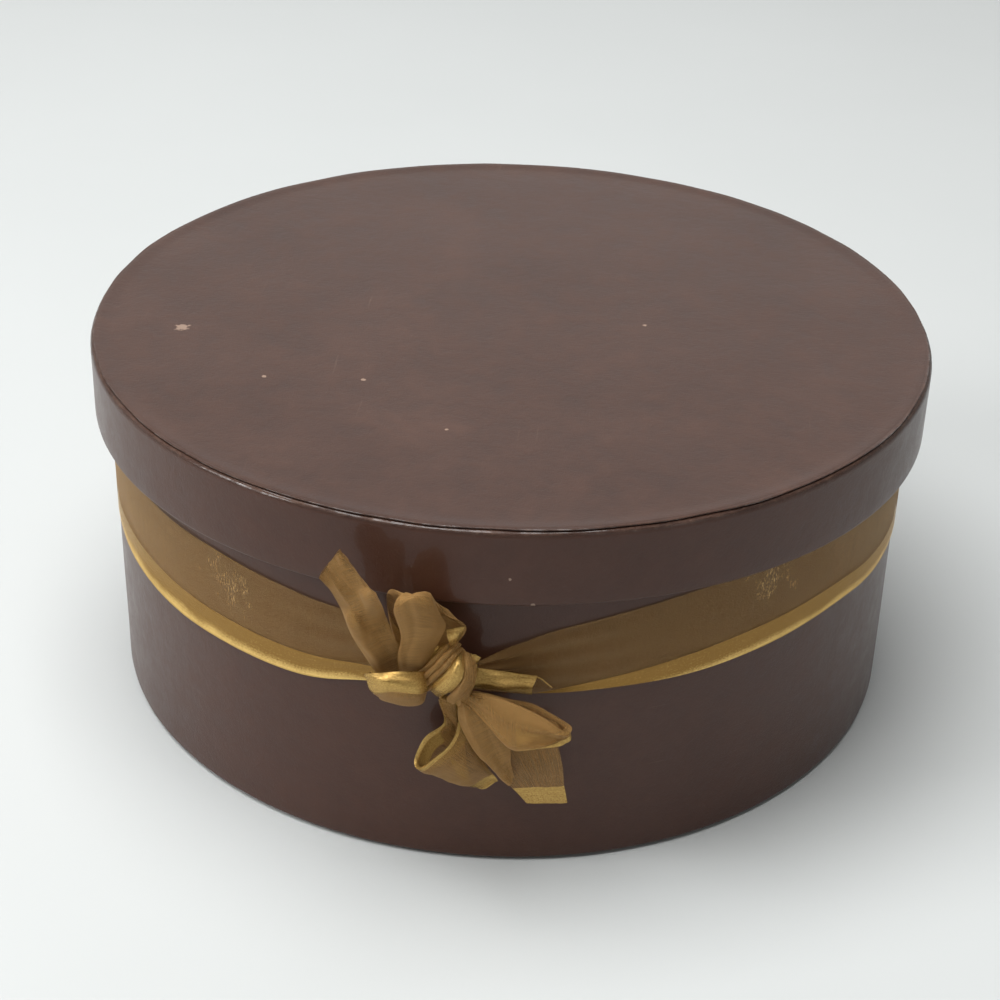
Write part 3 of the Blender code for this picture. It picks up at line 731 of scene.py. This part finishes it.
STRAP_RIGHT_SHARES = (
    ((0.067, 0.209, 0.030), (0.078, 0.245, -0.029), (0.088, 0.268, -0.099), (0.093, 0.255, -0.177)),
    ((0.178, 0.182, 0.002), (0.172, 0.218, -0.063), (0.166, 0.250, -0.138), (0.187, 0.218, -0.214)),
    ((0.346, 0.155, -0.028), (0.334, 0.191, -0.086), (0.323, 0.227, -0.152), (0.355, 0.191, -0.237)),
    ((0.530, 0.145, -0.046), (0.516, 0.182, -0.094), (0.504, 0.214, -0.156), (0.531, 0.173, -0.252)),
    ((0.721, 0.145, -0.061), (0.703, 0.173, -0.109), (0.684, 0.195, -0.157), (0.681, 0.155, -0.260)),
)
THREAD_SHARES = (
    ((0.713, 0.191, -0.033), (0.713, 0.191, -0.043)),
    ((0.763, 0.209, -0.035), (0.760, 0.209, -0.046)),
    ((0.805, 0.182, -0.092), (0.800, 0.182, -0.103)),
    ((0.859, 0.109, -0.193), (0.854, 0.109, -0.204)),
)
LOOP_LOWER_RIGHT_SHARES = (
    ((0.037, 0.282, -0.181), (0.052, 0.282, -0.214), (0.067, 0.282, -0.247)),
    ((0.238, 0.300, -0.171), (0.249, 0.300, -0.267), (0.256, 0.291, -0.395)),
    ((0.467, 0.309, -0.196), (0.485, 0.309, -0.357), (0.491, 0.300, -0.575)),
    ((0.695, 0.318, -0.224), (0.730, 0.318, -0.412), (0.750, 0.309, -0.611)),
    ((0.886, 0.373, -0.285), (0.925, 0.373, -0.421), (0.910, 0.355, -0.577)),
    ((1.015, 0.436, -0.347), (1.033, 0.436, -0.432), (0.990, 0.418, -0.527)),
    ((0.985, 0.500, -0.362), (0.978, 0.518, -0.429), (0.920, 0.482, -0.543)),
    ((0.803, 0.464, -0.269), (0.776, 0.545, -0.396), (0.727, 0.518, -0.604)),
    ((0.531, 0.418, -0.179), (0.527, 0.509, -0.363), (0.528, 0.500, -0.622)),
    ((0.293, 0.364, -0.154), (0.304, 0.427, -0.280), (0.330, 0.418, -0.469)),
    ((0.071, 0.327, -0.179), (0.087, 0.336, -0.206), (0.102, 0.336, -0.239)),
)
TAIL_LOWER_END_SHARES = (
    ((0.678, 0.209, -1.463), (0.593, 0.218, -1.351), (0.486, 0.218, -1.234),
     (0.320, 0.209, -1.040), (0.152, 0.191, -0.801)),
    ((0.800, 0.200, -1.457), (0.753, 0.218, -1.332), (0.691, 0.223, -1.207),
     (0.581, 0.214, -1.007), (0.457, 0.200, -0.760)),
    ((0.923, 0.200, -1.443), (0.899, 0.218, -1.316), (0.865, 0.227, -1.184),
     (0.799, 0.223, -0.976), (0.731, 0.209, -0.741)),
    ((1.052, 0.209, -1.417), (1.033, 0.223, -1.297), (1.014, 0.227, -1.185),
     (0.991, 0.227, -0.987), (0.944, 0.218, -0.783)),
)
TAIL_LOWER_FOLD_SHARES = (
    ((0.017, 0.300, -0.222), (0.035, 0.309, -0.214), (0.052, 0.309, -0.208),
     (0.069, 0.309, -0.203), (0.082, 0.300, -0.201)),
    ((0.030, 0.309, -0.389), (0.089, 0.336, -0.334), (0.146, 0.345, -0.290),
     (0.203, 0.345, -0.257), (0.256, 0.318, -0.236)),
    ((0.081, 0.318, -0.624), (0.168, 0.364, -0.538), (0.254, 0.382, -0.469),
     (0.332, 0.373, -0.422), (0.410, 0.336, -0.398)),
    ((0.210, 0.300, -0.881), (0.285, 0.336, -0.802), (0.352, 0.355, -0.738),
     (0.418, 0.345, -0.680), (0.471, 0.318, -0.634)),
    ((0.357, 0.273, -1.077), (0.402, 0.300, -1.019), (0.440, 0.314, -0.968),
     (0.473, 0.309, -0.924), (0.499, 0.291, -0.877)),
    ((0.504, 0.241, -1.258), (0.527, 0.250, -1.219), (0.539, 0.255, -1.192),
     (0.543, 0.250, -1.166), (0.548, 0.245, -1.132)),
)
LOOP_LOWER_LEFT_SHARES = (
    ((-0.157, 0.209, -0.288), (-0.114, 0.209, -0.294), (-0.071, 0.209, -0.297),
     (-0.028, 0.209, -0.299), (0.010, 0.209, -0.302)),
    ((-0.136, 0.200, -0.451), (-0.099, 0.191, -0.475), (-0.060, 0.182, -0.498),
     (-0.020, 0.173, -0.522), (0.014, 0.164, -0.546)),
    ((-0.118, 0.209, -0.627), (-0.069, 0.182, -0.688), (-0.019, 0.155, -0.757),
     (0.029, 0.132, -0.822), (0.071, 0.114, -0.886)),
    ((-0.268, 0.245, -0.770), (-0.195, 0.200, -0.886), (-0.112, 0.155, -1.002),
     (-0.012, 0.118, -1.110), (0.104, 0.091, -1.210)),
    ((-0.348, 0.291, -0.949), (-0.263, 0.227, -1.072), (-0.152, 0.173, -1.175),
     (-0.009, 0.127, -1.268), (0.151, 0.091, -1.371)),
    ((-0.343, 0.364, -1.013), (-0.265, 0.309, -1.119), (-0.142, 0.236, -1.224),
     (0.026, 0.164, -1.336), (0.199, 0.109, -1.426)),
    ((-0.279, 0.427, -0.982), (-0.183, 0.382, -1.053), (-0.060, 0.309, -1.158),
     (0.107, 0.227, -1.277), (0.277, 0.145, -1.403)),
    ((-0.163, 0.436, -0.854), (-0.066, 0.400, -0.936), (0.058, 0.327, -1.069),
     (0.211, 0.245, -1.207), (0.365, 0.164, -1.309)),
    ((-0.043, 0.373, -0.756), (0.041, 0.336, -0.847), (0.153, 0.291, -0.959),
     (0.265, 0.236, -1.079), (0.394, 0.173, -1.243)),
    ((0.018, 0.300, -0.644), (0.075, 0.282, -0.705), (0.132, 0.264, -0.784),
     (0.188, 0.236, -0.870), (0.245, 0.209, -0.975)),
    ((0.023, 0.245, -0.471), (0.046, 0.245, -0.486), (0.069, 0.245, -0.501),
     (0.092, 0.236, -0.527), (0.115, 0.236, -0.546)),
    ((-0.003, 0.245, -0.298), (0.009, 0.245, -0.297), (0.020, 0.245, -0.296),
     (0.031, 0.245, -0.295), (0.043, 0.245, -0.293)),
)
KNOT_LEFT_SHARES = (
    ((-0.351, 0.227, -0.070), (-0.305, 0.291, -0.089), (-0.266, 0.300, -0.148), (-0.235, 0.273, -0.216)),
    ((-0.262, 0.300, 0.076), (-0.211, 0.364, 0.058), (-0.172, 0.373, 0.010), (-0.142, 0.336, -0.067)),
    ((-0.173, 0.336, 0.203), (-0.117, 0.400, 0.195), (-0.073, 0.409, 0.155), (-0.043, 0.373, 0.082)),
    ((-0.088, 0.309, 0.294), (-0.042, 0.364, 0.279), (-0.006, 0.373, 0.238), (0.017, 0.345, 0.181)),
    ((-0.015, 0.227, 0.324), (0.013, 0.264, 0.301), (0.033, 0.264, 0.255), (0.046, 0.245, 0.203)),
)
KNOT_SATIN_SHARES = (
    ((-0.022, 0.245, 0.224), (0.012, 0.300, 0.244), (0.048, 0.309, 0.234), (0.078, 0.282, 0.205)),
    ((-0.021, 0.382, 0.209), (0.023, 0.427, 0.225), (0.058, 0.436, 0.221), (0.089, 0.409, 0.185)),
    ((-0.048, 0.427, 0.136), (-0.003, 0.473, 0.139), (0.043, 0.482, 0.123), (0.085, 0.455, 0.088)),
    ((-0.110, 0.418, 0.038), (-0.064, 0.464, 0.024), (-0.023, 0.473, -0.006), (0.019, 0.445, -0.049)),
    ((-0.195, 0.364, -0.088), (-0.156, 0.400, -0.106), (-0.119, 0.400, -0.144), (-0.085, 0.373, -0.187)),
    ((-0.243, 0.255, -0.212), (-0.211, 0.282, -0.231), (-0.182, 0.282, -0.263), (-0.151, 0.255, -0.307)),
)
KNOT_RIGHT_SHARES = (
    ((0.047, 0.255, 0.203), (0.087, 0.282, 0.205), (0.120, 0.273, 0.175), (0.141, 0.227, 0.112)),
    ((0.080, 0.382, 0.169), (0.116, 0.400, 0.168), (0.142, 0.373, 0.131), (0.158, 0.282, 0.042)),
    ((0.078, 0.436, 0.071), (0.117, 0.436, 0.058), (0.142, 0.400, 0.018), (0.154, 0.300, -0.076)),
    ((0.011, 0.427, -0.069), (0.057, 0.427, -0.092), (0.092, 0.391, -0.135), (0.117, 0.300, -0.218)),
    ((-0.068, 0.345, -0.226), (-0.024, 0.355, -0.250), (0.013, 0.327, -0.290), (0.039, 0.273, -0.351)),
)
KNOT_BIT_SHARES = (
    ((0.079, 0.236, 0.153), (0.098, 0.245, 0.120), (0.114, 0.227, 0.068)),
    ((0.146, 0.227, 0.174), (0.154, 0.245, 0.126), (0.158, 0.218, 0.046)),
    ((0.217, 0.200, 0.128), (0.197, 0.218, 0.098), (0.174, 0.200, 0.028)),
)


def between(a, b, c, d, t):
    """The point a share t of the way from b to c, on a smooth curve through all four."""
    return (b * 2 + (c - a) * t + (a * 2 - b * 5 + c * 4 - d) * t ** 2 + (b * 3 - a - c * 3 + d) * t ** 3) / 2


def smooth_curve(points, counts):
    ends = [points[0] * 2 - points[1], *points, points[-1] * 2 - points[-2]]
    curve = []
    for a, b, c, d, count in zip(ends, ends[1:], ends[2:], ends[3:], counts):
        curve += [between(a, b, c, d, step / count) for step in range(count)]
    return curve + [points[-1]]


def smooth_sheet(rows, along, across):
    wide = [smooth_curve(row, [across] * (len(row) - 1)) for row in rows]
    long = [smooth_curve(list(column), [along] * (len(rows) - 1)) for column in zip(*wide)]
    return [list(row) for row in zip(*long)]


def sheet_normal(grid, i, j):
    along = grid[min(i + 1, len(grid) - 1)][j] - grid[max(i - 1, 0)][j]
    across = grid[i][min(j + 1, len(grid[i]) - 1)] - grid[i][max(j - 1, 0)]
    return along.cross(across).normalized()


def grid_faces(rows, columns):
    return [
        (i * columns + j, i * columns + j + 1, (i + 1) * columns + j + 1, (i + 1) * columns + j)
        for i in range(rows - 1)
        for j in range(columns - 1)
    ]


def at_knot(shares):
    right, out, up = (share * RIBBON_WIDTH for share in shares)
    return Vector((right, -BASE_RADIUS - out, KNOT_HEIGHT + up))


def build_band():
    """The ribbon round the wall, gathered into pleats as it runs into the knot."""
    stations = [Vector(row) for row in BAND_SHARES]
    counts = [math.ceil((here[0] - there[0]) / BAND_STEP) for here, there in zip(stations, stations[1:])]
    turns = smooth_curve(stations, counts)
    verts, uvs = [], []
    run = 0
    last = turns[0][0]
    for degrees, low, high, lift, first, last_share in turns:
        run += math.radians(last - degrees) * BASE_RADIUS / RIBBON_WIDTH
        last = degrees
        turn = math.radians(degrees)
        from_knot = min(-degrees, degrees + 360)
        gather = max(0, 1 - from_knot / GATHER_REACH) ** 1.5
        tilt = max(0, 1 - abs(degrees - CREASE_AT) / CREASE_REACH)
        for rail in range(BAND_RAILS + 1):
            across = rail / BAND_RAILS
            up = low + (high - low) * across
            phase = math.tau * BAND_PLEATS * across + 0.8 * math.sin(from_knot * 0.09)
            pleat = BAND_PLEAT * gather * (1 + math.cos(phase))
            ripple = noise.noise(Vector((degrees * 0.07, across * 2.2, 0.5))) * BAND_RIPPLE
            crease = BAND_CREASE * tilt * max(0, 1 - across / CREASE_WIDTH)
            radius = BASE_RADIUS + RIBBON_GAP + lift * RIBBON_WIDTH + pleat + abs(ripple) + crease
            verts.append((radius * math.sin(turn), -radius * math.cos(turn),
                          KNOT_HEIGHT + up * RIBBON_WIDTH))
            uvs.append((first + (last_share - first) * across, run))
    faces = grid_faces(len(turns), BAND_RAILS + 1)
    obj = piece("band_cloth", verts, faces, gold, "base", ["ribbon_band"], uvs)


# Where the face of the lower right loop starts on the ribbon's width, station by station
LOOP_STARTS = (0.26, 0.26, 0.22, 0.15, 0.13, 0.13, 0.13, 0.15, 0.24, 0.26, 0.26)
# Creases across a tail and a loop: place as a share of the width, height in metres
TAIL_FOLDS = ((0, 0), (0.30, 0.0011), (0.62, 0.0002), (1, 0.0010))
LOOP_FOLDS = ((0, 0.0002), (0.26, 0.0010), (0.55, 0.0001), (0.80, 0.0009), (1, 0))


def creased(folds, across, share):
    """Height of cloth that lies flat between its creases. The creases run a little aslant."""
    across = min(1, max(0, across + CREASE_SLANT * (share - 0.5) * math.sin(math.pi * across)))
    for (a, low), (b, high) in zip(folds, folds[1:]):
        if across <= b:
            return low + (high - low) * (across - a) / (b - a)
    return folds[-1][1]


def ridge_height(across, share, pleats, folds):
    """Round pleats, or flat folds that calm down toward both ends."""
    if folds:
        return creased(folds, across, share) * min(1, 4 * share, 0.3 + 3 * (1 - share))
    return WRAP_PLEAT * abs(math.sin(math.pi * pleats * across)) ** 0.7 if pleats else 0


def distances(row):
    """How far along the row each of its points lies."""
    arcs = [0]
    for a, b in zip(row, row[1:]):
        arcs.append(arcs[-1] + (b - a).length)
    return arcs


def face_row(grid, i, begin, inner, seed, depth, pleats, folds):
    """The visible face at one row, as points with their places across the ribbon."""
    share = i / (len(grid) - 1)
    arcs = distances(grid[i])
    points = []
    for j, point in enumerate(grid[i]):
        across = arcs[j] / arcs[-1]
        drift = noise.noise(Vector((across * 2.1, share * 4.5, seed))) * 2
        drift += noise.noise(Vector((across * 7, share * 6, seed))) * 0.6
        lift = depth * drift * min(1, share * 5) + ridge_height(across, share, pleats, folds)
        points.append((point - sheet_normal(grid, i, j) * inner * lift, begin + arcs[j] / RIBBON_WIDTH))
    return points


def under_row(grid, i, begin, inner, seed, edge):
    """What is turned under at one edge of a row, in layers behind the face."""
    row = grid[i]
    share = i / (len(grid) - 1)
    width = distances(row)[-1]
    end = begin + width / RIBBON_WIDTH
    hidden = (1 - begin) * RIBBON_WIDTH - width if edge else begin * RIBBON_WIDTH
    hidden = max(LEAST_TURN, min(hidden, width * UNDER_LAYERS))
    strip = []
    for k in range(1, UNDER_STEPS + 1):
        back = hidden * k / UNDER_STEPS
        layer = int(back / width)
        t = back / width - layer
        t = 1 - t if (layer + edge) % 2 else t
        t *= len(row) - 1
        j = min(int(t), len(row) - 2)
        point = row[j].lerp(row[j + 1], t - j)
        ease = min(1, back / TURN_EASE) ** 0.5
        ripple = noise.noise(Vector((back * 300, share * 7, seed + edge))) * 0.3
        away = (TURN_GAP + SIDE_GAP * edge + LAYER_GAP * layer) * ease * (1 + ripple)
        if edge:
            across = min(end + back / RIBBON_WIDTH, 1 - SHEER_FROM if end < 1 - SATIN_SHARE else 1)
        else:
            across = max(begin - back / RIBBON_WIDTH, SHEER_FROM if begin > SATIN_SHARE else 0)
        strip.append((point + sheet_normal(grid, i, j) * inner * away, across))
    return strip


def cloth_rows(table, start, seed, depth, free_last=False, front_first=True, pleats=0, folds=None,
               under=True, sheer=False):
    """The visible face spans the table's points, from the share start of the ribbon's width, which may be
    given for each station. It is drawn into round pleats, or folded flat between creases. What is left of the
    width on either side is turned under, inside a loop or behind a tail."""
    grid = smooth_sheet([[at_knot(point) for point in row] for row in table], ALONG_STEPS, ACROSS_STEPS)
    if free_last:
        grid = [row[::-1] for row in grid]
    starts = start if isinstance(start, tuple) else (start,) * len(table)
    toward_wall = sheet_normal(grid, len(grid) // 4, len(grid[0]) // 2).y > 0
    inner = 1 if toward_wall == front_first else -1
    middle = len(grid[0]) // 2
    least = SHEER_FROM if sheer else 0
    run = 0
    made = []
    for i, row in enumerate(grid):
        if i:
            run += (row[middle] - grid[i - 1][middle]).length
        station = min(i // ALONG_STEPS, len(starts) - 2)
        begin = starts[station] + (starts[station + 1] - starts[station]) * (i / ALONG_STEPS - station)
        points = face_row(grid, i, begin, inner, seed, depth, pleats, folds)
        if under:
            points = under_row(grid, i, begin, inner, seed, 0)[::-1] + points
            points += under_row(grid, i, begin, inner, seed, 1)
        along = BOW_ALONG - seed - run / RIBBON_WIDTH
        made.append([(tuple(point), (min(max(across, least), 1 - least), along)) for point, across in points])
    return made, run


def build_cloth(name, nodes, parts):
    verts, faces, uvs = [], [], []
    for rows, run in parts:
        first = len(verts)
        faces += [tuple(first + k for k in face) for face in grid_faces(len(rows), len(rows[0]))]
        for row in rows:
            verts += [point for point, _ in row]
            uvs += [uv for _, uv in row]
    obj = piece(name, verts, faces, gold, "base", nodes, uvs)


def knot_core():
    """What fills the middle of the knot, drawn into pleats that climb to the right."""
    ahead = Vector((math.cos(CORE_TILT), 0, math.sin(CORE_TILT)))
    side = Vector((-math.sin(CORE_TILT), 0, math.cos(CORE_TILT)))
    out = Vector((0, -1, 0))
    middle = at_knot(CORE_MIDDLE)
    made = []
    for i in range(CORE_ROWS):
        angle = math.tau * i / (CORE_ROWS - 1)
        row = []
        for j in range(CORE_COLUMNS):
            t = 2 * j / (CORE_COLUMNS - 1) - 1
            belly = max(0.0, 1 - abs(t) ** 2.6) ** 0.5
            ridge = abs(math.sin(math.pi * (4.5 * t + 0.22 * math.sin(angle * 2 + 1.0) + 0.1)))
            size = belly * (0.62 + 0.36 * ridge ** 0.6) + 0.06
            point = middle + side * (CORE_HALF_WIDTH * t)
            point = point + ahead * (CORE_AHEAD * size * math.cos(angle))
            point = point + out * (CORE_OUT * size * math.sin(angle))
            along = KNOT_ALONG - CORE_LENGTH / RIBBON_WIDTH * i / (CORE_ROWS - 1)
            row.append((tuple(point), (j / (CORE_COLUMNS - 1), along)))
        made.append(row)
    return made, CORE_LENGTH


def build_knot():
    build_cloth("knot_cloth", ["bow_knot"], [
        knot_core(),
        cloth_rows(KNOT_LEFT_SHARES, start=0.30, seed=7.1, depth=0.0001, pleats=4),
        cloth_rows(KNOT_SATIN_SHARES, start=0.0, seed=8.2, depth=0.0001),
        cloth_rows(KNOT_RIGHT_SHARES, start=0.34, seed=9.3, depth=0.0001, pleats=2),
        cloth_rows(KNOT_BIT_SHARES, start=0.02, seed=9.9, depth=0.0001),
    ])


def build_bow():
    build_knot()
    build_cloth("tail_upper_cloth", ["bow_tail_upper"], [
        cloth_rows(TAIL_UPPER_SHARES, start=0.26, seed=0.3, depth=0.0003, folds=TAIL_FOLDS, sheer=True),
    ])
    build_cloth("loop_upper_cloth", ["bow_loop_upper"], [
        cloth_rows(LOOP_UPPER_SHARES, start=0.26, seed=1.1, depth=0.0004, free_last=True,
                   folds=LOOP_FOLDS, sheer=True),
        cloth_rows(LOOP_TIP_SHARES, start=0.0, seed=1.7, depth=0.0001, under=False),
    ])
    build_cloth("loop_left_cloth", ["bow_loop_left"], [
        cloth_rows(LOOP_LEFT_SHARES, start=0.0, seed=2.2, depth=0.0003),
    ])
    thread, _ = cloth_rows(THREAD_SHARES, start=0.02, seed=3.7, depth=0.0, under=False)
    build_cloth("strap_right_cloth", ["bow_strap_right"], [
        cloth_rows(STRAP_RIGHT_SHARES, start=0.0, seed=3.1, depth=0.0002),
        (thread, 0),
    ])
    build_cloth("loop_lower_right_cloth", ["bow_loop_lower_right"], [
        cloth_rows(LOOP_LOWER_RIGHT_SHARES, start=LOOP_STARTS, seed=4.4, depth=0.0004, free_last=True,
                   front_first=False, folds=LOOP_FOLDS),
    ])
    build_cloth("tail_lower_cloth", ["bow_tail_lower"], [
        cloth_rows(TAIL_LOWER_END_SHARES, start=0.0, seed=5.2, depth=0.0001, under=False),
        cloth_rows(TAIL_LOWER_FOLD_SHARES, start=0.25, seed=5.7, depth=0.0004, folds=TAIL_FOLDS, sheer=True),
    ])
    build_cloth("loop_lower_left_cloth", ["bow_loop_lower_left"], [
        cloth_rows(LOOP_LOWER_LEFT_SHARES, start=0.18, seed=6.3, depth=0.0004, front_first=False),
    ])


# Floor, light and camera

FLOOR_DARK = (0.54, 0.56, 0.555, 1.0)
FLOOR_LIGHT = (0.58, 0.60, 0.595, 1.0)
FLOOR_REACH = 4.0
FLOOR_DROP = 0.0002
WORLD_COLOUR = (1.0, 0.99, 0.97, 1.0)
WORLD_STRENGTH = 0.15
# Lamps: place and size in metres, power in watts
LAMPS = (
    ("overhead", (-0.18, -0.08, 1.15), (0.9, 0.9), 16.5),
    ("window", (-1.10, -0.45, 0.75), (0.55, 0.55), 10.0),
    ("fill", (0.75, -0.75, 0.55), (0.7, 0.7), 1.1),
    ("back", (-0.12, 1.50, 0.80), (2.4, 1.2), 7.0),
)
LAMPS_AIM = (0, 0, 0.05)
# The camera that was fitted to the photo: lens and sensor in millimetres, place, and its axes
CAMERA_LENS = 74.016
CAMERA_SENSOR = 36
CAMERA_CLIP = 0.01
CAMERA_PLACE = (0.038393, -0.424863, 0.285950)
CAMERA_RIGHT = (0.99368124, 0.10904077, 0.02660255)
CAMERA_UP = (-0.07821977, 0.50278762, 0.86086368)
CAMERA_BACK = (0.08049381, -0.85750494, 0.50813977)


def build_floor():
    material, tree, shader = blank("floor_finish")
    place = node(tree, "TexCoord").outputs["Object"]
    cloud = noisy(tree, place, 6.0, 3.0)
    plug(tree, shader, Base_Color=mixed(tree, cloud, FLOOR_DARK, FLOOR_LIGHT), Roughness=0.7)
    ends = ((-FLOOR_REACH, -FLOOR_REACH), (FLOOR_REACH, -FLOOR_REACH),
            (FLOOR_REACH, FLOOR_REACH), (-FLOOR_REACH, FLOOR_REACH))
    mesh = bpy.data.meshes.new("floor")
    mesh.from_pydata([(x, y, -FLOOR_DROP) for x, y in ends], [], [(0, 1, 2, 3)])
    mesh.materials.append(material)
    floor = bpy.data.objects.new("floor", mesh)
    bpy.context.scene.collection.objects.link(floor)


def build_light():
    world = bpy.data.worlds.new("studio")
    world.use_nodes = True
    background = world.node_tree.nodes["Background"]
    background.inputs["Color"].default_value = WORLD_COLOUR
    background.inputs["Strength"].default_value = WORLD_STRENGTH
    bpy.context.scene.world = world
    for name, place, size, power in LAMPS:
        light = bpy.data.lights.new(name, "AREA")
        light.shape = "RECTANGLE"
        light.size, light.size_y = size
        light.energy = power
        lamp = bpy.data.objects.new(name, light)
        lamp.location = place
        aim = Vector(LAMPS_AIM) - Vector(place)
        lamp.rotation_euler = aim.to_track_quat("-Z", "Y").to_euler()
        bpy.context.scene.collection.objects.link(lamp)


def build_camera():
    camera = bpy.data.cameras.new("camera")
    camera.lens = CAMERA_LENS
    camera.sensor_width = CAMERA_SENSOR
    camera.clip_start = CAMERA_CLIP
    view = bpy.data.objects.new("camera", camera)
    rows = list(zip(CAMERA_RIGHT, CAMERA_UP, CAMERA_BACK, CAMERA_PLACE))
    view.matrix_world = Matrix(rows + [(0, 0, 0, 1)])
    bpy.context.scene.collection.objects.link(view)
    bpy.context.scene.camera = view
    bpy.context.scene.view_settings.view_transform = "Standard"


build_base()
build_lid()
build_band()
build_bow()
build_floor()
build_light()
build_camera()

bpy.context.view_layer.update()
